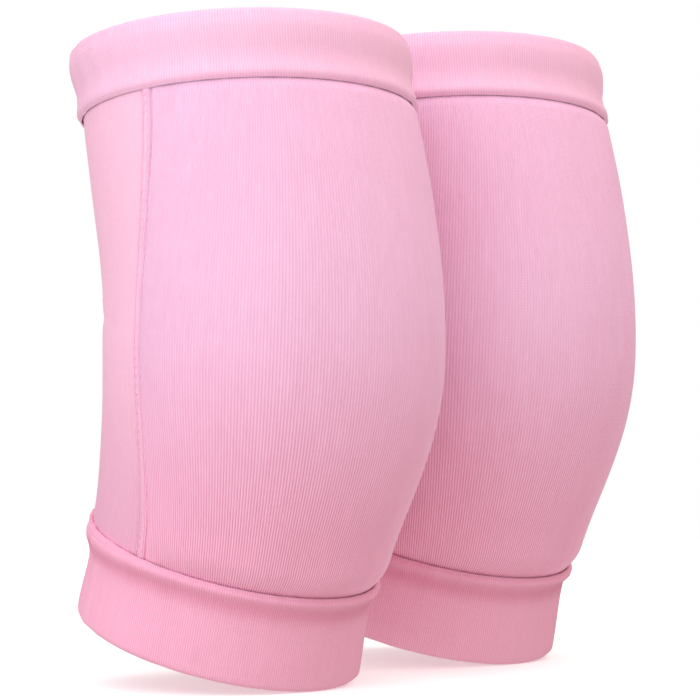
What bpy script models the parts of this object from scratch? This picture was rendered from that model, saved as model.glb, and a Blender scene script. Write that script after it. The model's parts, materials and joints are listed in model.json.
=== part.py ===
"""A pair of padded knit knee pads, as worn on two slightly bent legs.

Each pad is a bent sleeve. Every piece is laid out on the same three coordinates: a column round
the sleeve, a height along its spine, and a depth outward from the skin of the leg. Front is -Y.
"""

import math

import bmesh
import bpy
from mathutils import Vector

# ---- driving dimensions, in metres and degrees ----
TOP_REACH = 0.108            # knee centre to the top rim, along the spine
BOTTOM_REACH = 0.112         # knee centre to the bottom rim, along the spine
TOP_CUFF_HEIGHT = 0.025
BOTTOM_CUFF_HEIGHT = 0.036
THIGH_TILT = 9.7             # the thigh end leans back by this
CALF_TILT = 17.4             # the calf end runs back by this
BEND_REACH = 0.052           # half the length of spine over which the knee bends
SIDE_SLOPE = -0.07           # rims drop this much per metre towards +X
THIGH_RADIUS = 0.0590        # leg radius at the top rim
UPPER_RADIUS = 0.0572        # leg radius just under the top cuff
KNEE_RADIUS = 0.0550         # leg radius at the knee
CALF_RADIUS = 0.0495         # leg radius just over the bottom cuff
ANKLE_RADIUS = 0.0472        # leg radius at the bottom rim

FABRIC = 0.0010              # one knit panel
LINING = 0.0010              # the knit behind the foam
CUFF_FABRIC = 0.0012         # one layer of the doubled cuff band
ELASTIC = 0.0010             # the band inside each cuff
THREAD_RADIUS = 0.0004
GAP = 0.0003                 # clearance between pieces that touch

PAD_TOP = 0.0045             # front padding under the top cuff
PAD_KNEE = 0.0095            # front padding at the knee
PAD_BOTTOM = 0.0045          # front padding over the bottom cuff
FOAM_END_MARGIN = 0.005      # the foam stops this far from each cuff
CUFF_MARGIN = 0.001          # panels lie flat for this length outside a cuff
EDGE_ROLL = 0.010            # then the front panel rounds up to full padding over this length
SEAM_TUCK = 0.004            # panel edge held inside a cuff
ELASTIC_TOP_MARGIN = 0.003   # elastic to the fold of its cuff

SEAM_ANGLE_TOP = 70.0        # side seams, from the front, at the top cuff
SEAM_ANGLE_KNEE = 83.0
SEAM_ANGLE_BOTTOM = 73.0

PAIR_SPACE = 0.007           # added to twice the widest leg radius, from one knee centre across to the other
PAIR_SET_BACK = 0.046        # the second pad stands this far behind the first

# ---- how finely the shapes are divided ----
FRONT_COLUMNS = 12
BACK_COLUMNS = 10
FOAM_COLUMNS = 10
BODY_ROWS = 8
FOLD_STEPS = 4
SPINE_STEPS = 60

# ---- what follows from them ----
CUFF_DEPTH = CUFF_FABRIC + GAP + ELASTIC + GAP + CUFF_FABRIC
PANEL_DEPTH = CUFF_FABRIC + GAP
LINING_DEPTH = PANEL_DEPTH - GAP - LINING
TOP_SEAM = TOP_REACH - TOP_CUFF_HEIGHT
BOTTOM_SEAM = -(BOTTOM_REACH - BOTTOM_CUFF_HEIGHT)
TOP_RIM = TOP_REACH
BOTTOM_RIM = -BOTTOM_REACH
PAIR_OFFSET = (2.0 * max(THIGH_RADIUS, KNEE_RADIUS) + PAIR_SPACE, PAIR_SET_BACK, 0.0)

PINK = (0.88, 0.47, 0.69)
BACK_PINK = (0.93, 0.54, 0.71)
CUFF_PINK = (0.87, 0.44, 0.62)
PALE = (0.90, 0.85, 0.87)
FOAM_WHITE = (0.88, 0.86, 0.84)
THREAD_PINK = (0.85, 0.42, 0.60)


def smooth(value):
    """Ease from 0 to 1."""
    value = min(max(value, 0.0), 1.0)
    return value * value * (3.0 - 2.0 * value)


def tilt_at(height):
    """Angle of the spine, back from upright, at a height along it."""
    share = smooth((height + BEND_REACH) / (2.0 * BEND_REACH))
    return math.radians(-CALF_TILT + (THIGH_TILT + CALF_TILT) * share)


def spine_point(height):
    """Y and Z of the spine, summed from the knee centre in even steps."""
    step = height / SPINE_STEPS
    y = z = 0.0
    for index in range(SPINE_STEPS):
        tilt = tilt_at((index + 0.5) * step)
        y += math.sin(tilt) * step
        z += math.cos(tilt) * step
    return y, z


def ease_through(height, stations):
    """Value at a height, eased between (height, value) stations."""
    if height <= stations[0][0]:
        return stations[0][1]
    for low, high in zip(stations, stations[1:]):
        if height <= high[0]:
            return low[1] + (high[1] - low[1]) * smooth((height - low[0]) / (high[0] - low[0]))
    return stations[-1][1]


def leg_radius(height):
    return ease_through(height, ((BOTTOM_RIM, ANKLE_RADIUS), (BOTTOM_SEAM, CALF_RADIUS), (0.0, KNEE_RADIUS),
                                 (TOP_SEAM, UPPER_RADIUS), (TOP_RIM, THIGH_RADIUS)))


def seam_angle(height):
    return math.radians(ease_through(height, ((BOTTOM_SEAM, SEAM_ANGLE_BOTTOM), (0.0, SEAM_ANGLE_KNEE),
                                              (TOP_SEAM, SEAM_ANGLE_TOP))))


def place(column, height, depth):
    """World position. Column runs -1 to 1 over the front panel and 1 to 3 over the back."""
    seam = seam_angle(height)
    if column <= 1.0:
        angle = seam * column
    else:
        angle = seam + (2.0 * math.pi - 2.0 * seam) * (column - 1.0) / 2.0
    radius = leg_radius(height) + depth
    side = radius * math.sin(angle)
    front = radius * math.cos(angle)
    tilt = tilt_at(height)
    y, z = spine_point(height)
    return Vector((side, y - front * math.cos(tilt), z + front * math.sin(tilt) + side * SIDE_SLOPE))


def padding(column, height):
    """How far the front panel stands off the lining: fullest at the knee, none at its edges."""
    thickness = ease_through(height, ((BOTTOM_SEAM, PAD_BOTTOM), (0.0, PAD_KNEE), (TOP_SEAM, PAD_TOP)))
    across = 1.0 - abs(column) ** 4
    to_cuff = min(TOP_SEAM - height, height - BOTTOM_SEAM) - CUFF_MARGIN
    roll = 1.0 - min(max(1.0 - to_cuff / EDGE_ROLL, 0.0), 1.0) ** 2
    return thickness * across * roll


def even_steps(start, end, count):
    return [start + (end - start) * index / count for index in range(count + 1)]


def foam_heights():
    """Rows over the foam, which the layers on both sides of it share."""
    inner = even_steps(BOTTOM_SEAM + EDGE_ROLL, TOP_SEAM - EDGE_ROLL, BODY_ROWS)
    return [BOTTOM_SEAM + FOAM_END_MARGIN] + inner + [TOP_SEAM - FOAM_END_MARGIN]


def body_heights(margin):
    """Rows of a piece that runs this far short of both cuffs."""
    return [BOTTOM_SEAM + margin] + foam_heights() + [TOP_SEAM - margin]


def tucked_heights():
    """Rows of a panel whose ends are held inside the cuffs."""
    return [BOTTOM_SEAM - SEAM_TUCK] + body_heights(CUFF_MARGIN) + [TOP_SEAM + SEAM_TUCK]


def front_columns(edge_gap):
    """Columns over the front, the two outer ones this far inside the side seams."""
    columns = even_steps(-1.0, 1.0, FRONT_COLUMNS)
    inset = edge_gap / (KNEE_RADIUS * math.radians(SEAM_ANGLE_BOTTOM))
    columns[0] += inset
    columns[-1] -= inset
    return columns


def back_columns(edge_gap):
    columns = even_steps(1.0, 3.0, BACK_COLUMNS)
    inset = edge_gap / (KNEE_RADIUS * (math.pi - math.radians(SEAM_ANGLE_KNEE)))
    columns[0] += inset
    columns[-1] -= inset
    return columns


def ring_columns():
    """Columns all the way round, the same ones that the panels use."""
    return even_steps(-1.0, 1.0, FRONT_COLUMNS) + even_steps(1.0, 3.0, BACK_COLUMNS)[1:]


def material(name, colour, roughness):
    existing = bpy.data.materials.get(name)
    if existing:
        return existing
    made = bpy.data.materials.new(name)
    made.use_nodes = True
    shader = made.node_tree.nodes["Principled BSDF"]
    shader.inputs["Base Color"].default_value = (*colour, 1.0)
    shader.inputs["Roughness"].default_value = roughness
    shader.inputs["Metallic"].default_value = 0.0
    return made


def add_object(name, data, parts, parent, surface):
    made = bpy.data.objects.new(name, data)
    data.materials.append(surface)
    parts.objects.link(made)
    made.parent = parent
    return made


def grid_mesh(name, columns, rows, position):
    """A Blender grid whose corner (column, row) goes where position() puts it."""
    shape = bmesh.new()
    bmesh.ops.create_grid(shape, x_segments=len(columns) - 1, y_segments=len(rows) - 1, size=1.0)
    for vertex in shape.verts:
        column = round((vertex.co.x + 1.0) / 2.0 * (len(columns) - 1))
        row = round((vertex.co.y + 1.0) / 2.0 * (len(rows) - 1))
        vertex.co = position(columns[column], rows[row])
    bmesh.ops.remove_doubles(shape, verts=shape.verts, dist=0.00005)
    mesh = bpy.data.meshes.new(name)
    shape.to_mesh(mesh)
    shape.free()
    mesh.shade_smooth()
    return mesh


def shell(name, mesh, thickness, side, parts, parent, surface):
    """Thicken an open sheet: side 1 grows it outward and -1 inward."""
    made = add_object(name, mesh, parts, parent, surface)
    solid = made.modifiers.new("Thickness", "SOLIDIFY")
    solid.thickness = thickness
    solid.offset = side
    solid.use_even_offset = True
    return made


def front_panel(prefix, parts, parent):
    """Rib-knit face over the padding, its ends tucked into both cuffs."""
    mesh = grid_mesh(prefix + "front_panel", front_columns(GAP / 2.0), tucked_heights(),
                     lambda column, height: place(column, height, PANEL_DEPTH + padding(column, height)))
    shell(prefix + "front_panel", mesh, FABRIC, 1, parts, parent, material("rib_knit", PINK, 0.9))


def back_panel(prefix, parts, parent):
    """Smooth stretch panel behind the knee, its ends tucked into both cuffs."""
    mesh = grid_mesh(prefix + "back_panel", back_columns(GAP / 2.0), tucked_heights(),
                     lambda column, height: place(column, height, PANEL_DEPTH))
    shell(prefix + "back_panel", mesh, FABRIC, 1, parts, parent, material("jersey_knit", BACK_PINK, 0.9))


def front_lining(prefix, parts, parent):
    """Knit layer between the foam and the leg."""
    mesh = grid_mesh(prefix + "front_lining", front_columns(GAP / 2.0), body_heights(GAP),
                     lambda column, height: place(column, height, LINING_DEPTH))
    shell(prefix + "front_lining", mesh, LINING, 1, parts, parent, material("lining_knit", PALE, 0.9))


def foam_pad(prefix, parts, parent):
    """Foam cushion that fills the space between the lining and the front panel."""
    columns = [-1.0 + 2.0 * index / FRONT_COLUMNS for index in range(1, FRONT_COLUMNS)]
    heights = foam_heights()
    columns = columns[(len(columns) - FOAM_COLUMNS - 1) // 2:][:FOAM_COLUMNS + 1]
    shape = bmesh.new()
    bmesh.ops.create_grid(shape, x_segments=len(columns) - 1, y_segments=len(heights) - 1, size=1.0)
    inner = list(shape.verts)
    extruded = bmesh.ops.extrude_face_region(shape, geom=list(shape.faces))
    outer = [item for item in extruded["geom"] if isinstance(item, bmesh.types.BMVert)]
    for layer, verts in ((0.0, inner), (1.0, outer)):
        for vertex in verts:
            column = columns[round((vertex.co.x + 1.0) / 2.0 * (len(columns) - 1))]
            height = heights[round((vertex.co.y + 1.0) / 2.0 * (len(heights) - 1))]
            thickness = padding(column, height) - GAP
            vertex.co = place(column, height, PANEL_DEPTH + layer * thickness)
    bmesh.ops.recalc_face_normals(shape, faces=shape.faces)
    mesh = bpy.data.meshes.new(prefix + "foam_pad")
    shape.to_mesh(mesh)
    shape.free()
    mesh.shade_smooth()
    add_object(prefix + "foam_pad", mesh, parts, parent, material("foam", FOAM_WHITE, 0.8))


def cuff_path(seam, rim):
    """(height, depth) down the outside of a folded band, over its fold and back up the inside."""
    away = math.copysign(1.0, rim - seam)
    fold_radius = CUFF_DEPTH / 2.0
    centre = rim - away * fold_radius
    path = [(seam, CUFF_DEPTH), ((seam + centre) / 2.0, CUFF_DEPTH)]
    for index in range(FOLD_STEPS + 1):
        turn = math.pi * index / FOLD_STEPS
        path.append((centre + away * fold_radius * math.sin(turn), fold_radius * (1.0 + math.cos(turn))))
    return path + [((seam + centre) / 2.0, 0.0), (seam, 0.0)]


def cuff(name, seam, rim, parts, parent):
    """A knit band folded double, open only at its seam edge."""
    path = cuff_path(seam, rim)
    mesh = grid_mesh(name, ring_columns(), path, lambda column, spot: place(column, spot[0], spot[1]))
    side = -1 if rim > seam else 1
    shell(name, mesh, CUFF_FABRIC, side, parts, parent, material("cuff_knit", CUFF_PINK, 0.9))


def elastic(name, seam, rim, parts, parent):
    """Woven elastic band inside a cuff, between the tucked panel edges and the fold."""
    away = math.copysign(1.0, rim - seam)
    low = seam + away * (SEAM_TUCK + GAP)
    high = rim - away * (CUFF_FABRIC + ELASTIC_TOP_MARGIN)
    rows = even_steps(min(low, high), max(low, high), 1)
    mesh = grid_mesh(name, ring_columns(), rows, lambda column, height: place(column, height, PANEL_DEPTH))
    shell(name, mesh, ELASTIC, 1, parts, parent, material("elastic", PALE, 0.7))


def thread(name, points, closed, parts, parent):
    """A sewn thread as a round bead along its seam."""
    curve = bpy.data.curves.new(name, "CURVE")
    curve.dimensions = "3D"
    curve.bevel_depth = THREAD_RADIUS
    curve.bevel_resolution = 1
    curve.use_fill_caps = not closed
    spline = curve.splines.new("POLY")
    spline.points.add(len(points) - 1)
    for spot, point in zip(spline.points, points):
        spot.co = (*point, 1.0)
    spline.use_cyclic_u = closed
    add_object(name, curve, parts, parent, material("thread", THREAD_PINK, 0.6))


def cuff_thread(name, seam, parts, parent):
    """Overlock stitching inside the sleeve, where a cuff meets the panels."""
    depth = -GAP - THREAD_RADIUS
    points = [place(column, seam, depth) for column in ring_columns()[:-1]]
    thread(name, points, True, parts, parent)


def side_thread(name, column, parts, parent):
    """Flat stitching over a side seam, from cuff to cuff."""
    depth = PANEL_DEPTH + FABRIC + GAP + THREAD_RADIUS
    heights = body_heights(THREAD_RADIUS + GAP)
    thread(name, [place(column, height, depth) for height in heights], False, parts, parent)


def empty(name, position, parent, parts):
    made = bpy.data.objects.new(name, None)
    made.empty_display_size = 0.03
    made.location = position
    made.parent = parent
    parts.objects.link(made)
    return made


def knee_pad(prefix, knee_centre, parts):
    """One pad. Its bottom cuff hangs from an empty on the knee axis, which it turns about."""
    sleeve = empty(prefix + "sleeve", knee_centre, None, parts)
    calf_end = empty(prefix + "knee_axis", (0.0, 0.0, 0.0), sleeve, parts)
    front_panel(prefix, parts, sleeve)
    back_panel(prefix, parts, sleeve)
    front_lining(prefix, parts, sleeve)
    foam_pad(prefix, parts, sleeve)
    cuff(prefix + "top_cuff", TOP_SEAM, TOP_RIM, parts, sleeve)
    elastic(prefix + "top_elastic", TOP_SEAM, TOP_RIM, parts, sleeve)
    cuff_thread(prefix + "top_seam_thread", TOP_SEAM, parts, sleeve)
    side_thread(prefix + "inner_side_seam_thread", 1.0, parts, sleeve)
    side_thread(prefix + "outer_side_seam_thread", -1.0, parts, sleeve)
    cuff(prefix + "bottom_cuff", BOTTOM_SEAM, BOTTOM_RIM, parts, calf_end)
    elastic(prefix + "bottom_elastic", BOTTOM_SEAM, BOTTOM_RIM, parts, calf_end)
    cuff_thread(prefix + "bottom_seam_thread", BOTTOM_SEAM, parts, calf_end)


def main():
    for existing in list(bpy.data.objects):
        bpy.data.objects.remove(existing, do_unlink=True)
    parts = bpy.data.collections.new("knee_pad_pair")
    bpy.context.scene.collection.children.link(parts)
    knee_pad("pad1_", (0.0, 0.0, 0.0), parts)
    knee_pad("pad2_", PAIR_OFFSET, parts)


main()
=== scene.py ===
"""Finished look of a pair of padded knit knee pads, laid out as a Blender add-on and run as a script.

Each pad is a bent sleeve. A place on it is a column round the sleeve (-1 to 1 over the padded
front, 1 to 3 over the back), a height along the spine and a depth outward from the leg.
"""
import json
import math

import bmesh
import bpy
import numpy as np
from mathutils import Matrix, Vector


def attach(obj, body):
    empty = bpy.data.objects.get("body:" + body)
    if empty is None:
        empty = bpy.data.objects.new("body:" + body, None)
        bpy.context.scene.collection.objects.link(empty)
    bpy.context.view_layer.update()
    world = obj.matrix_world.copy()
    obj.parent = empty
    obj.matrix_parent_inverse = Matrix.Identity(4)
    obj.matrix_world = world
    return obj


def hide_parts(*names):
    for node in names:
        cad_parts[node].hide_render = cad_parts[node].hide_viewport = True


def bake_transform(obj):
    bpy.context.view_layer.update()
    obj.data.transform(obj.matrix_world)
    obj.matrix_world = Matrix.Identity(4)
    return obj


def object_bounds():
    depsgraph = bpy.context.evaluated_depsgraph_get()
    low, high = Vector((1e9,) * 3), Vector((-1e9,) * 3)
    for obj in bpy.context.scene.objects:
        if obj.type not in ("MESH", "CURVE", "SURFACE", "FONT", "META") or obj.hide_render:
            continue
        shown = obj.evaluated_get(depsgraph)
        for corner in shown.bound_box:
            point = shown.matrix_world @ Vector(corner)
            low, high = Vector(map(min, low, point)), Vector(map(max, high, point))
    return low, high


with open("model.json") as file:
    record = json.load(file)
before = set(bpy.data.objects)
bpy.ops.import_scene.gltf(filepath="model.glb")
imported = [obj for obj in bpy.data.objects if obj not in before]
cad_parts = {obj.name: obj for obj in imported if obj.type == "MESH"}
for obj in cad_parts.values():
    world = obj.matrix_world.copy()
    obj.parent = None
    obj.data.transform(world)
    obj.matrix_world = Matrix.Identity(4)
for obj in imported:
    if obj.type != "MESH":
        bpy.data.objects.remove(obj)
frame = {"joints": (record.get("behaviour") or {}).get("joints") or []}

bl_info = {
    "name": "Knit Knee Pads",
    "version": (1, 0, 0),
    "blender": (4, 5, 0),
    "location": "3D View > Sidebar > Knee Pads",
    "description": "Makes the knit faces, cuffs, cushions and stitching of a pair of padded knee pads",
    "category": "Object",
}

CAD_BOX = [list(corner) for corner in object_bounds()]
MM = 0.001

# ---- the sleeve's shape, the same values as the model's ----
TOP_RIM = 108 * MM
BOTTOM_RIM = -112 * MM
TOP_SEAM = 83 * MM
BOTTOM_SEAM = -76 * MM
THIGH_TILT = math.radians(9.7)
CALF_TILT = math.radians(17.4)
BEND_REACH = 52 * MM
SIDE_SLOPE = -0.07
RADIUS_STATIONS = ((BOTTOM_RIM, 47.2 * MM), (BOTTOM_SEAM, 49.5 * MM), (0.0, 55.0 * MM),
                   (TOP_SEAM, 57.2 * MM), (TOP_RIM, 59.0 * MM))
SEAM_STATIONS = ((BOTTOM_SEAM, math.radians(73)), (0.0, math.radians(83)), (TOP_SEAM, math.radians(70)))
PAD_STATIONS = ((BOTTOM_SEAM, 4.5 * MM), (0.0, 9.5 * MM), (TOP_SEAM, 4.5 * MM))
PANEL_DEPTH = 1.5 * MM
FABRIC = 1.0 * MM
CUFF_DEPTH = 4.0 * MM
CUFF_FABRIC = 1.2 * MM
SEAM_TUCK = 3.2 * MM         # how far a panel's edge runs up inside a cuff

PADS = ("pad1_", "pad2_")
KNEES = {joint["name"]: Vector(joint["pos_m"]) for joint in frame["joints"]}


# ---- sleeve geometry ----

def smooth(value):
    value = np.clip(value, 0.0, 1.0)
    return value * value * (3.0 - 2.0 * value)


def ease_through(height, stations):
    """Value at each height, eased between (height, value) stations."""
    height = np.asarray(height, float)
    value = np.full(height.shape, stations[0][1])
    for low, high in zip(stations, stations[1:]):
        value += (high[1] - low[1]) * smooth((height - low[0]) / (high[0] - low[0]))
    return value


SPINE_HEIGHTS = np.linspace(-160 * MM, 160 * MM, 641)
SPINE_TILTS = -CALF_TILT + (THIGH_TILT + CALF_TILT) * smooth((SPINE_HEIGHTS + BEND_REACH) / (2 * BEND_REACH))


def spine_sum(slope):
    """Running sum of a slope along the spine, zero at the knee centre."""
    steps = (slope[1:] + slope[:-1]) / 2 * np.diff(SPINE_HEIGHTS)
    total = np.concatenate([[0.0], np.cumsum(steps)])
    return total - total[len(total) // 2]


SPINE_Y = spine_sum(np.sin(SPINE_TILTS))
SPINE_Z = spine_sum(np.cos(SPINE_TILTS))


def angle_at(column, height):
    """Angle from the front, in radians, of a column at a height."""
    seam = ease_through(height, SEAM_STATIONS)
    return np.where(column <= 1.0, seam * column, seam + (math.pi - seam) * (column - 1.0))


def place(prefix, column, height, depth):
    """World points for arrays of column, height and depth."""
    knee = KNEES[prefix + "knee_flex"]
    angle = angle_at(column, height)
    radius = ease_through(height, RADIUS_STATIONS) + depth
    side, front = radius * np.sin(angle), radius * np.cos(angle)
    tilt = np.interp(height, SPINE_HEIGHTS, SPINE_TILTS)
    y = np.interp(height, SPINE_HEIGHTS, SPINE_Y) - front * np.cos(tilt)
    z = np.interp(height, SPINE_HEIGHTS, SPINE_Z) + front * np.sin(tilt) + side * SIDE_SLOPE
    return np.stack([side + knee.x, y + knee.y, z + knee.z], axis=-1)


def ripple(column, height, seed, grain=1.0):
    """Soft unevenness from -1 to 1, the same every run."""
    total = np.zeros(np.broadcast(column, height).shape)
    for index in range(4):
        turn = seed * 1.7 + index * 2.1
        total += np.sin((3.0 + 2.3 * index) * grain * column * math.pi + turn
                        + np.sin(height / (19 * MM) * (1.0 + 0.3 * index) + turn * 1.3))
    return total / 4.0


def fall_away(distance, reach):
    """1 at no distance, easing to 0 at the reach."""
    return np.clip(1.0 - distance / reach, 0.0, 1.0) ** 2


def front_padding(column, height):
    """How far the front face stands off the lining."""
    across = 1.0 - np.abs(column) ** 4
    to_top, to_bottom = TOP_SEAM - height - 0.3 * MM, height - BOTTOM_SEAM - 0.3 * MM
    rise = 0.4 * (1.0 - fall_away(to_top, 3 * MM)) + 0.6 * (1.0 - fall_away(to_top, 30 * MM))
    rise = rise * (1.0 - fall_away(to_bottom, 10 * MM))
    return ease_through(height, PAD_STATIONS) * np.clip(across, 0.0, 1.0) * rise


# ---- mesh helpers ----

def lattice_mesh(name, points, knit, loop_columns=False, loop_rows=False, wale=None):
    """Quads over a (rows, columns, 3) array, with a knit UV in stitches and optional wale numbers."""
    rows, columns = points.shape[:2]
    index = np.arange(rows * columns).reshape(rows, columns)
    row_ends = rows if loop_rows else rows - 1
    column_ends = columns if loop_columns else columns - 1
    r, c = np.meshgrid(np.arange(row_ends), np.arange(column_ends), indexing="ij")
    above, beside = (r + 1) % rows, (c + 1) % columns
    quads = np.stack([index[r, c], index[r, beside], index[above, beside], index[above, c]], axis=-1)
    mesh = bpy.data.meshes.new(name)
    mesh.from_pydata(points.reshape(-1, 3), [], quads.reshape(-1, 4))
    # a looped side runs on past its last number instead of jumping back
    u_next = knit[0][r, c] + np.diff(knit[0], axis=1).mean()
    v_next = knit[1][r, c] + np.diff(knit[1], axis=0).mean()
    u_beside = np.where(beside > c, knit[0][r, beside], u_next)
    v_above = np.where(above > r, knit[1][above, c], v_next)
    u = np.stack([knit[0][r, c], u_beside, u_beside, knit[0][r, c]], axis=-1)
    v = np.stack([knit[1][r, c], knit[1][r, c], v_above, v_above], axis=-1)
    layer = mesh.uv_layers.new(name="knit")
    layer.data.foreach_set("uv", np.stack([u, v], axis=-1).reshape(-1).astype(np.float32))
    if wale is not None:
        attribute = mesh.attributes.new("relief", "FLOAT", "POINT")
        attribute.data.foreach_set("value", wale.reshape(-1).astype(np.float32))
    mesh.shade_smooth()
    return mesh


def add_piece(name, mesh, material):
    piece = bpy.data.objects.new(name, mesh)
    bpy.context.scene.collection.objects.link(piece)
    if not mesh.materials:
        mesh.materials.append(material)
    return piece


def bends_at_knee(piece):
    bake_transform(piece)


def evaluated_copy(holder, name):
    """Plain mesh of an object with its modifiers run; the object itself is removed."""
    graph = bpy.context.evaluated_depsgraph_get()
    mesh = bpy.data.meshes.new_from_object(holder.evaluated_get(graph))
    mesh.name = name
    bpy.data.objects.remove(holder, do_unlink=True)
    return mesh


# ---- geometry node trees ----

def new_tree(name, inputs):
    tree = bpy.data.node_groups.new(name, "GeometryNodeTree")
    tree.interface.new_socket("Geometry", in_out="INPUT", socket_type="NodeSocketGeometry")
    for label, kind, default in inputs:
        socket = tree.interface.new_socket(label, in_out="INPUT", socket_type=kind)
        if default is not None:
            socket.default_value = default
    tree.interface.new_socket("Geometry", in_out="OUTPUT", socket_type="NodeSocketGeometry")
    return tree


class NodeDesk:
    """Places nodes in a tree and links them by socket.

    An input is given by its name, with _ for a space, or by its number as i0, i1 and so on.
    """

    def __init__(self, tree):
        self.tree = tree
        self.count = 0

    def add(self, kind, settings=None, **inputs):
        node = self.tree.nodes.new(kind)
        node.location = (200 * (self.count % 8), -220 * (self.count // 8))
        self.count += 1
        for key, value in (settings or {}).items():
            setattr(node, key, value)
        for key, value in inputs.items():
            numbered = key[0] == "i" and key[1:].isdigit()
            self.feed(node.inputs[int(key[1:]) if numbered else key.replace("_", " ")], value)
        return node

    def feed(self, socket, value):
        if isinstance(value, bpy.types.NodeSocket):
            self.tree.links.new(value, socket)
        else:
            socket.default_value = value

    def math(self, operation, first, second=0.0, third=0.0):
        return self.add("ShaderNodeMath", {"operation": operation}, i0=first, i1=second, i2=third).outputs[0]


def rib_tree():
    """Raises ribs on a knit face: a wave along the normal, one wave to each wale."""
    name = "rib_relief"
    if name in bpy.data.node_groups:
        return bpy.data.node_groups[name]
    tree = new_tree(name, (("Rib Height", "NodeSocketFloat", 0.0002), ("Finish", "NodeSocketMaterial", None)))
    desk = NodeDesk(tree)
    source = desk.add("NodeGroupInput")
    wale = desk.add("GeometryNodeInputNamedAttribute", {"data_type": "FLOAT"}, Name="relief")
    wave = desk.math("COSINE", desk.math("MULTIPLY", wale.outputs[0], 2.0 * math.pi))
    height = desk.math("MULTIPLY", wave, source.outputs["Rib Height"])
    normal = desk.add("GeometryNodeInputNormal")
    offset = desk.add("ShaderNodeVectorMath", {"operation": "SCALE"}, i0=normal.outputs[0], Scale=height)
    moved = desk.add("GeometryNodeSetPosition", Geometry=source.outputs["Geometry"], Offset=offset.outputs[0])
    real = desk.add("GeometryNodeRealizeInstances", Geometry=moved.outputs[0])
    finish = desk.add("GeometryNodeSetMaterial", Geometry=real.outputs[0], Material=source.outputs["Finish"])
    desk.add("NodeGroupOutput", Geometry=finish.outputs[0])
    return tree


def thread_arc(desk, start, middle, end, radius):
    """A short thread over three points, thickened to a tube."""
    path = desk.add("GeometryNodeCurveQuadraticBezier", Resolution=5, Start=start, Middle=middle, End=end)
    ring = desk.add("GeometryNodeCurvePrimitiveCircle", Resolution=5, Radius=radius)
    tube = desk.add("GeometryNodeCurveToMesh", Curve=path.outputs[0], Profile_Curve=ring.outputs[0],
                    Fill_Caps=True)
    return tube.outputs[0]


def seam_vector(desk, across, along, up):
    return desk.add("ShaderNodeCombineXYZ", X=across, Y=along, Z=up).outputs[0]


def stitch_tree():
    """Covers a row of points with flat stitches: two needle lines and the threads that cross between them."""
    name = "stitch_row"
    if name in bpy.data.node_groups:
        return bpy.data.node_groups[name]
    tree = new_tree(name, (("Stitch Pitch", "NodeSocketFloat", 0.003),
                           ("Seam Width", "NodeSocketFloat", 0.0036),
                           ("Thread Radius", "NodeSocketFloat", 0.0002), ("Seed", "NodeSocketInt", 7),
                           ("Finish", "NodeSocketMaterial", None)))
    desk = NodeDesk(tree)
    source = desk.add("NodeGroupInput")
    pitch, width = source.outputs["Stitch Pitch"], source.outputs["Seam Width"]
    radius = source.outputs["Thread Radius"]
    half, step = desk.math("MULTIPLY", width, 0.5), desk.math("MULTIPLY", pitch, 0.5)
    left, back = desk.math("MULTIPLY", half, -1.0), desk.math("MULTIPLY", step, -1.0)
    lift = desk.math("MULTIPLY", radius, 2.2)
    low = desk.math("MULTIPLY", radius, -0.6)
    arcs = desk.add("GeometryNodeJoinGeometry")
    for side in (left, half):
        needle = thread_arc(desk, seam_vector(desk, side, back, low), seam_vector(desk, side, 0.0, lift),
                            seam_vector(desk, side, desk.math("MULTIPLY", step, 0.9), low), radius)
        tree.links.new(needle, arcs.inputs[0])
    for start, end in ((left, half), (half, left)):
        cross = thread_arc(desk, seam_vector(desk, start, back, low), seam_vector(desk, 0.0, 0.0, lift),
                           seam_vector(desk, end, step, low), desk.math("MULTIPLY", radius, 0.85))
        tree.links.new(cross, arcs.inputs[0])
    outward = desk.add("GeometryNodeInputNamedAttribute", {"data_type": "FLOAT_VECTOR"}, Name="outward")
    along = desk.add("GeometryNodeInputNamedAttribute", {"data_type": "FLOAT_VECTOR"}, Name="along")
    turn = desk.add("FunctionNodeAxesToRotation", {"primary_axis": "Z", "secondary_axis": "Y"},
                    Primary_Axis=outward.outputs[0], Secondary_Axis=along.outputs[0])
    size = desk.add("FunctionNodeRandomValue", {"data_type": "FLOAT"}, Seed=source.outputs["Seed"])
    size.inputs[2].default_value = 0.93
    size.inputs[3].default_value = 1.05
    row = desk.add("GeometryNodeInstanceOnPoints", Points=source.outputs["Geometry"],
                   Instance=arcs.outputs[0], Rotation=turn.outputs[0], Scale=size.outputs[1])
    real = desk.add("GeometryNodeRealizeInstances", Geometry=row.outputs[0])
    finish = desk.add("GeometryNodeSetMaterial", Geometry=real.outputs[0], Material=source.outputs["Finish"])
    desk.add("NodeGroupOutput", Geometry=finish.outputs[0])
    return tree


def run_tree(name, mesh, tree, values):
    """Plain mesh that a node tree makes from a mesh."""
    holder = bpy.data.objects.new(name, mesh)
    bpy.context.scene.collection.objects.link(holder)
    modifier = holder.modifiers.new(tree.name, "NODES")
    modifier.node_group = tree
    for item in tree.interface.items_tree:
        if item.in_out == "INPUT" and item.name in values:
            modifier[item.identifier] = values[item.name]
    made = evaluated_copy(holder, name)
    made.shade_smooth()
    return made


# ---- shader node groups ----

def new_shader_group(name, inputs, outputs):
    group = bpy.data.node_groups.new(name, "ShaderNodeTree")
    for label, kind, default in inputs:
        socket = group.interface.new_socket(label, in_out="INPUT", socket_type=kind)
        socket.default_value = default
    for label, kind in outputs:
        group.interface.new_socket(label, in_out="OUTPUT", socket_type=kind)
    return group


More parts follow.
